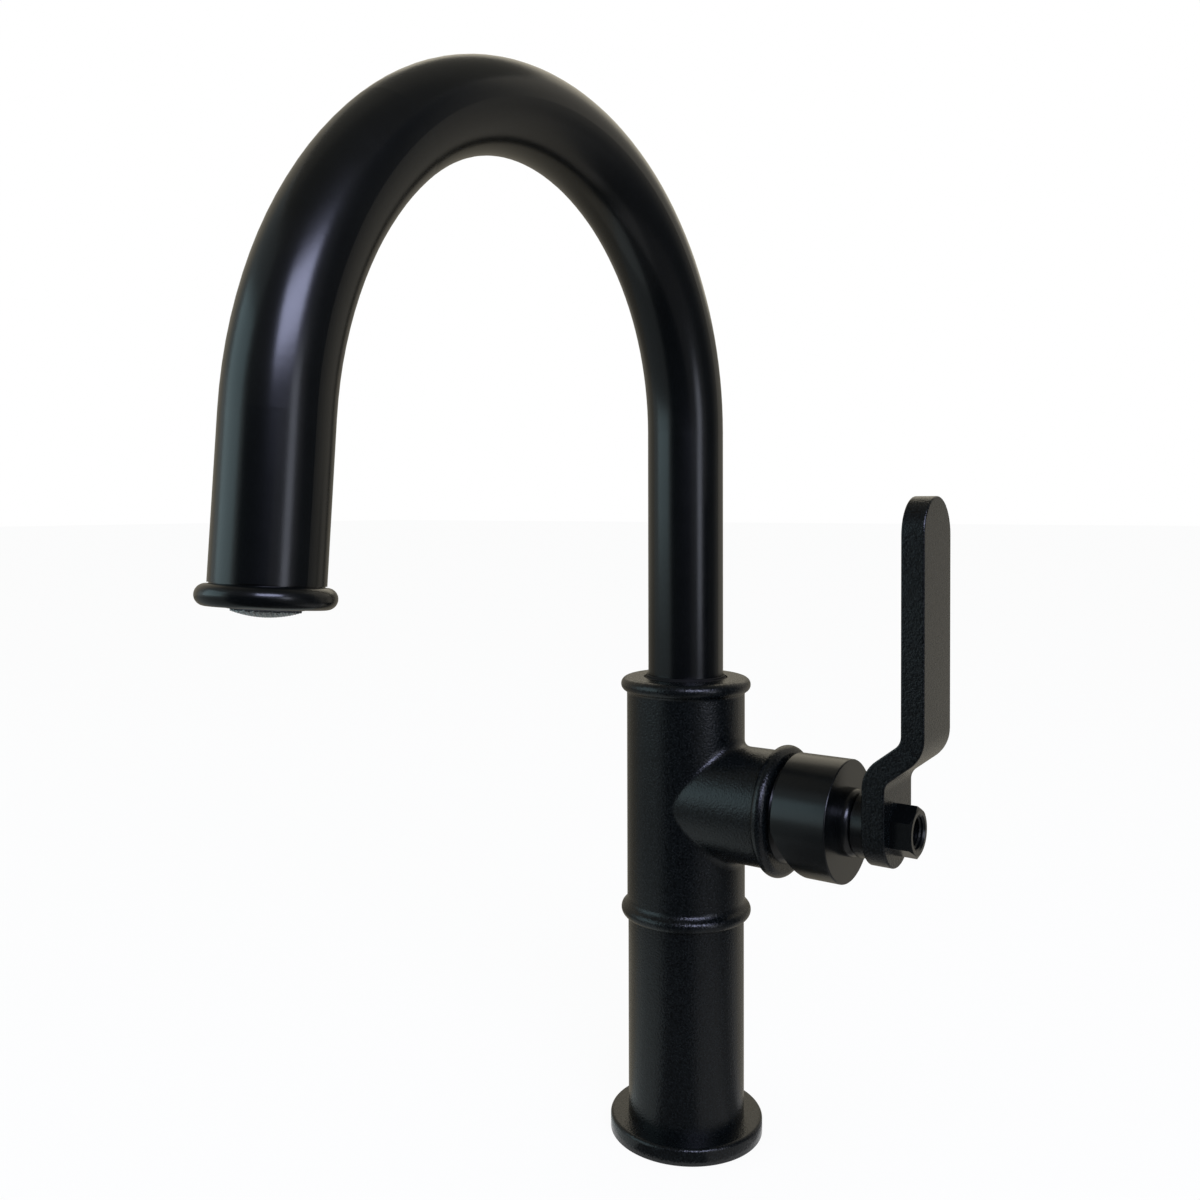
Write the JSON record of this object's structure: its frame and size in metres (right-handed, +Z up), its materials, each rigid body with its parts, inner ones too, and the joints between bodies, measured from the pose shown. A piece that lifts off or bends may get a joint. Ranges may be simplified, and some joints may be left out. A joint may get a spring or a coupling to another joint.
{
  "type": "single-lever basin mixer",
  "caption": "Tall deck-mounted basin mixer with a swivelling gooseneck spout and a flat side lever bolted to a drum hub.",
  "frame": {"origin": "centre of the foot's underside, where it meets the deck", "axes": "+Z up, the spout points to -Y, the handle branch points to +X"},
  "size_m": [0.1127, 0.2188, 0.3341],
  "materials": {
    "black_powder_coat": "matte, fine sandy texture",
    "black_satin_paint": "smooth satin",
    "black_rubber": "matte",
    "brass": "machined",
    "copper": "drawn copper tube",
    "white_acetal": "moulded",
    "grey_acetal": "moulded",
    "alumina": "lapped",
    "dark_steel": "black oxide",
    "grey_plastic": "moulded"
  },
  "bodies": {
    "standing_body": {"base_flange": "black_powder_coat", "base_gasket": "black_rubber", "base_insert": "brass", "lower_column": "black_powder_coat", "hot_riser_pipe": "copper", "cold_riser_pipe": "copper", "riser_seals": "black_rubber", "tee_body": "black_powder_coat", "spout_set_screw": "dark_steel", "spout_slip_ring": "white_acetal", "cartridge_base": "white_acetal", "port_seals": "black_rubber", "fixed_ceramic_disc": "alumina", "cartridge_housing": "white_acetal", "cartridge_nut": "brass", "cartridge_dome": "black_satin_paint"},
    "spout": {"spout_tube": "black_satin_paint", "spout_nipple": "brass", "spout_o_rings": "black_rubber", "spout_dust_seal": "black_rubber", "outlet_ring": "black_satin_paint", "aerator_housing": "grey_plastic", "aerator_washer": "black_rubber", "aerator_grid": "grey_plastic"},
    "mixing_rotor": {"cartridge_rotor": "grey_acetal", "pivot_pin": "dark_steel"},
    "mixing_disc": {"moving_ceramic_disc": "alumina", "disc_carrier": "grey_acetal"},
    "handle": {"lever_stem": "brass", "handle_hub": "black_satin_paint", "hub_set_screw": "dark_steel", "handle_stud": "dark_steel", "lever_spacer": "black_satin_paint", "lever": "black_powder_coat", "lever_nut": "black_satin_paint"}
  },
  "joints": [
    {"name": "spout_swivel", "type": "hinge", "parent": "standing_body", "child": "spout", "pos_m": [0, 0, 0.15], "axis": [0, 0, 1], "continuous": true},
    {"name": "handle_turn", "type": "hinge", "parent": "standing_body", "child": "mixing_rotor", "pos_m": [0.032, 0, 0.1136], "axis": [1, 0, 0], "range_deg": [-45, 45]},
    {"name": "lever_tilt", "type": "hinge", "parent": "mixing_rotor", "child": "handle", "pos_m": [0.032, 0, 0.1136], "axis": [0, 1, 0], "range_deg": [0, 20]},
    {"name": "disc_slide", "type": "slide", "parent": "mixing_rotor", "child": "mixing_disc", "axis": [0, 0, 1], "range_m": [0, 0.00425]}
  ],
  "couplings": [
    {"joint": "disc_slide", "follows": "lever_tilt", "m_per_rad": 0.01215}
  ]
}
